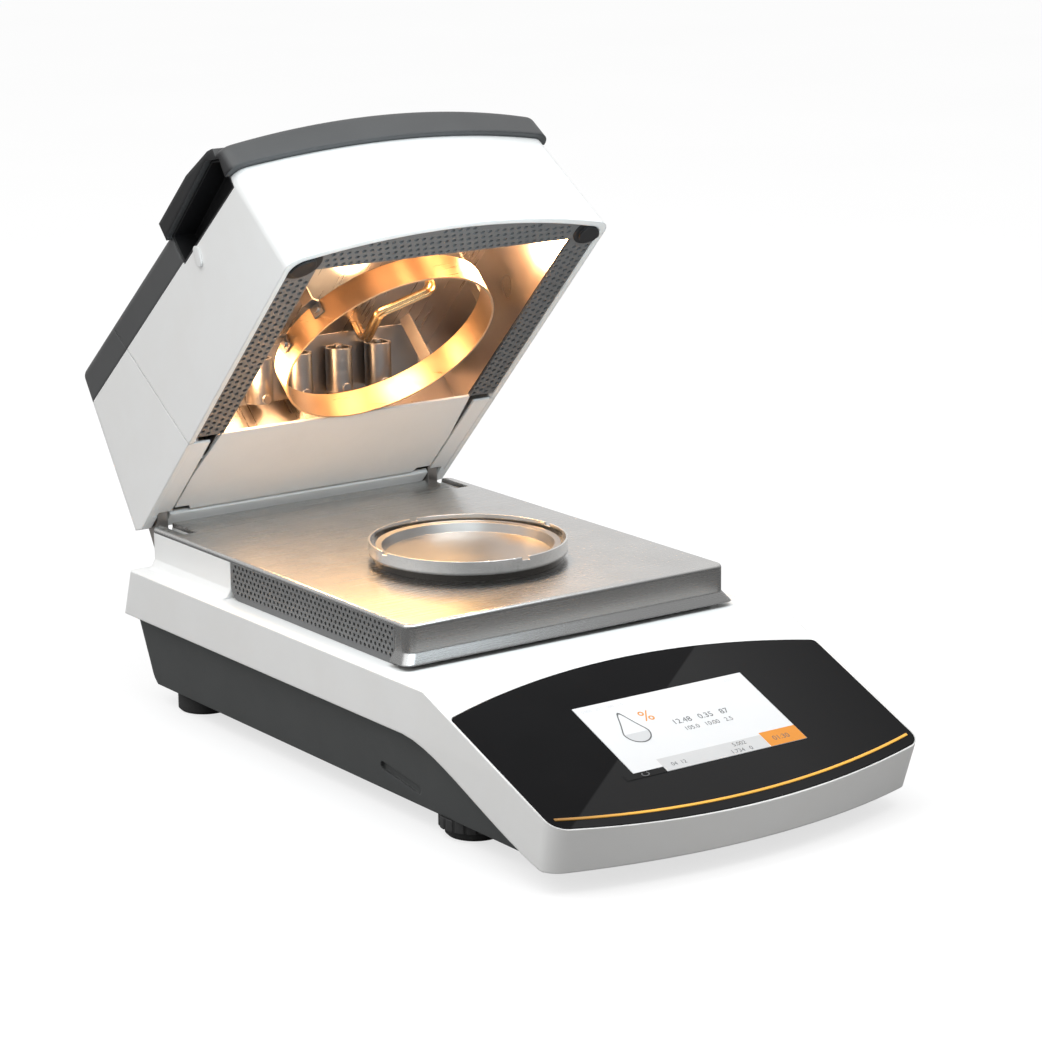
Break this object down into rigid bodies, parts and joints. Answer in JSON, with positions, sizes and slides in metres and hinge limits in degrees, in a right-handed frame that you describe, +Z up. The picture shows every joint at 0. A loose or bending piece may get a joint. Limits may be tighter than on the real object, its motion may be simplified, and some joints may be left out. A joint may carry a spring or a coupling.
{
  "type": "moisture analyzer",
  "caption": "Bench moisture analyzer with a hinged heater lid, sample pan with draft ring, sloped touch panel and levelling feet.",
  "frame": {"origin": "floor level, at the middle of the outline of the unit with its lid open", "axes": "X across the width, Y towards the rear, Z up"},
  "size_m": [0.22, 0.4704, 0.3128],
  "materials": {
    "white_housing": "fine textured warm white moulding",
    "dark_tub": "textured dark grey moulding",
    "dark_cover": "satin dark grey moulding",
    "black_plastic": "matt black moulding",
    "light_plastic": "satin light grey moulding",
    "panel_glass": "gloss black touch panel",
    "accent": "orange printed line",
    "screen": "lit screen",
    "steel_plate": "brushed stainless sheet",
    "grille_metal": "grey perforated sheet",
    "ring_steel": "turned stainless ring",
    "pan_aluminium": "pressed aluminium pan",
    "carrier_steel": "machined stainless",
    "cell_aluminium": "milled aluminium",
    "reflector_metal": "polished reflector sheet",
    "bracket_steel": "pressed steel",
    "socket_steel": "heat stained steel",
    "rod_steel": "heat stained steel tube",
    "circuit_board": "green circuit board",
    "module_metal": "folded steel case",
    "foot_plastic": "black moulding with knurled rim",
    "foot_rubber": "soft black rubber"
  },
  "bodies": {
    "base": {"accent_line": "accent", "chamber_plate": "steel_plate", "display_module": "module_metal", "display_screen": "screen", "hinge_bracket_left": "bracket_steel", "hinge_bracket_right": "bracket_steel", "hinge_pin_left": "bracket_steel", "hinge_pin_right": "bracket_steel", "load_receiver": "carrier_steel", "lower_housing": "dark_tub", "main_board": "circuit_board", "mains_inlet": "black_plastic", "panel_glass": "panel_glass", "power_supply": "module_metal", "rear_foot_left": "foot_rubber", "rear_foot_right": "foot_rubber", "rear_panel": "bracket_steel", "serial_port": "bracket_steel", "side_grille_left": "grille_metal", "side_grille_right": "grille_metal", "upper_housing": "white_housing", "usb_port": "bracket_steel", "weighing_cell": "cell_aluminium"},
    "lid": {"collar_bracket_1": "bracket_steel", "collar_bracket_2": "bracket_steel", "collar_bracket_3": "bracket_steel", "collar_bracket_4": "bracket_steel", "corner_bumper_left": "black_plastic", "corner_bumper_right": "black_plastic", "front_strip": "grille_metal", "grip_recess_left": "black_plastic", "grip_recess_right": "black_plastic", "heater_rod": "rod_steel", "hinge_arm_left": "bracket_steel", "hinge_arm_right": "bracket_steel", "lamp_socket_1": "socket_steel", "lamp_socket_2": "socket_steel", "lamp_socket_3": "socket_steel", "lamp_socket_4": "socket_steel", "lid_cover_front": "dark_cover", "lid_cover_rear": "dark_cover", "lid_handle": "dark_cover", "lid_inner_panel": "light_plastic", "lid_rear_shell": "white_housing", "lid_shell": "white_housing", "reflector_box": "reflector_metal", "reflector_collar": "reflector_metal", "side_strip_left": "grille_metal", "side_strip_right": "grille_metal", "side_tab_left": "light_plastic", "side_tab_right": "light_plastic", "socket_plate": "bracket_steel"},
    "draft_ring": {"draft_ring": "ring_steel"},
    "pan_carrier": {"pan_carrier": "carrier_steel"},
    "sample_pan": {"sample_pan": "pan_aluminium"},
    "fuse_drawer": {"fuse_drawer": "black_plastic"},
    "foot_wheel_left": {"foot_wheel_left": "foot_plastic"},
    "foot_pad_left": {"foot_pad_left": "foot_rubber"},
    "foot_wheel_right": {"foot_wheel_right": "foot_plastic"},
    "foot_pad_right": {"foot_pad_right": "foot_rubber"}
  },
  "joints": [
    {"name": "lid_hinge", "type": "hinge", "parent": "base", "child": "lid", "pos_m": [0, 0.14521, 0.062], "axis": [1, 0, 0], "range_deg": [0, 46]},
    {"name": "draft_ring_lift", "type": "slide", "parent": "base", "child": "draft_ring", "axis": [0, 0, 1], "range_m": [0, 0.005]},
    {"name": "carrier_lift", "type": "slide", "parent": "base", "child": "pan_carrier", "axis": [0, 0, 1], "range_m": [0, 0.004]},
    {"name": "pan_lift", "type": "slide", "parent": "pan_carrier", "child": "sample_pan", "axis": [0, 0, 1], "range_m": [0, 0.005]},
    {"name": "fuse_drawer_slide", "type": "slide", "parent": "base", "child": "fuse_drawer", "axis": [0, 1, 0], "range_m": [0, 0.016]},
    {"name": "foot_wheel_turn_left", "type": "hinge", "parent": "base", "child": "foot_wheel_left", "pos_m": [-0.0815, -0.12279, 0.005], "axis": [0, 0, 1], "range_deg": [0, 1080]},
    {"name": "foot_pad_slide_left", "type": "slide", "parent": "base", "child": "foot_pad_left", "axis": [0, 0, -1], "range_m": [0, 0.003]},
    {"name": "foot_wheel_turn_right", "type": "hinge", "parent": "base", "child": "foot_wheel_right", "pos_m": [0.0815, -0.12279, 0.005], "axis": [0, 0, 1], "range_deg": [0, 1080]},
    {"name": "foot_pad_slide_right", "type": "slide", "parent": "base", "child": "foot_pad_right", "axis": [0, 0, -1], "range_m": [0, 0.003]}
  ],
  "couplings": [
    {"joint": "foot_pad_slide_left", "follows": "foot_wheel_turn_left", "m_per_rad": 0.00015915},
    {"joint": "foot_pad_slide_right", "follows": "foot_wheel_turn_right", "m_per_rad": 0.00015915}
  ]
}
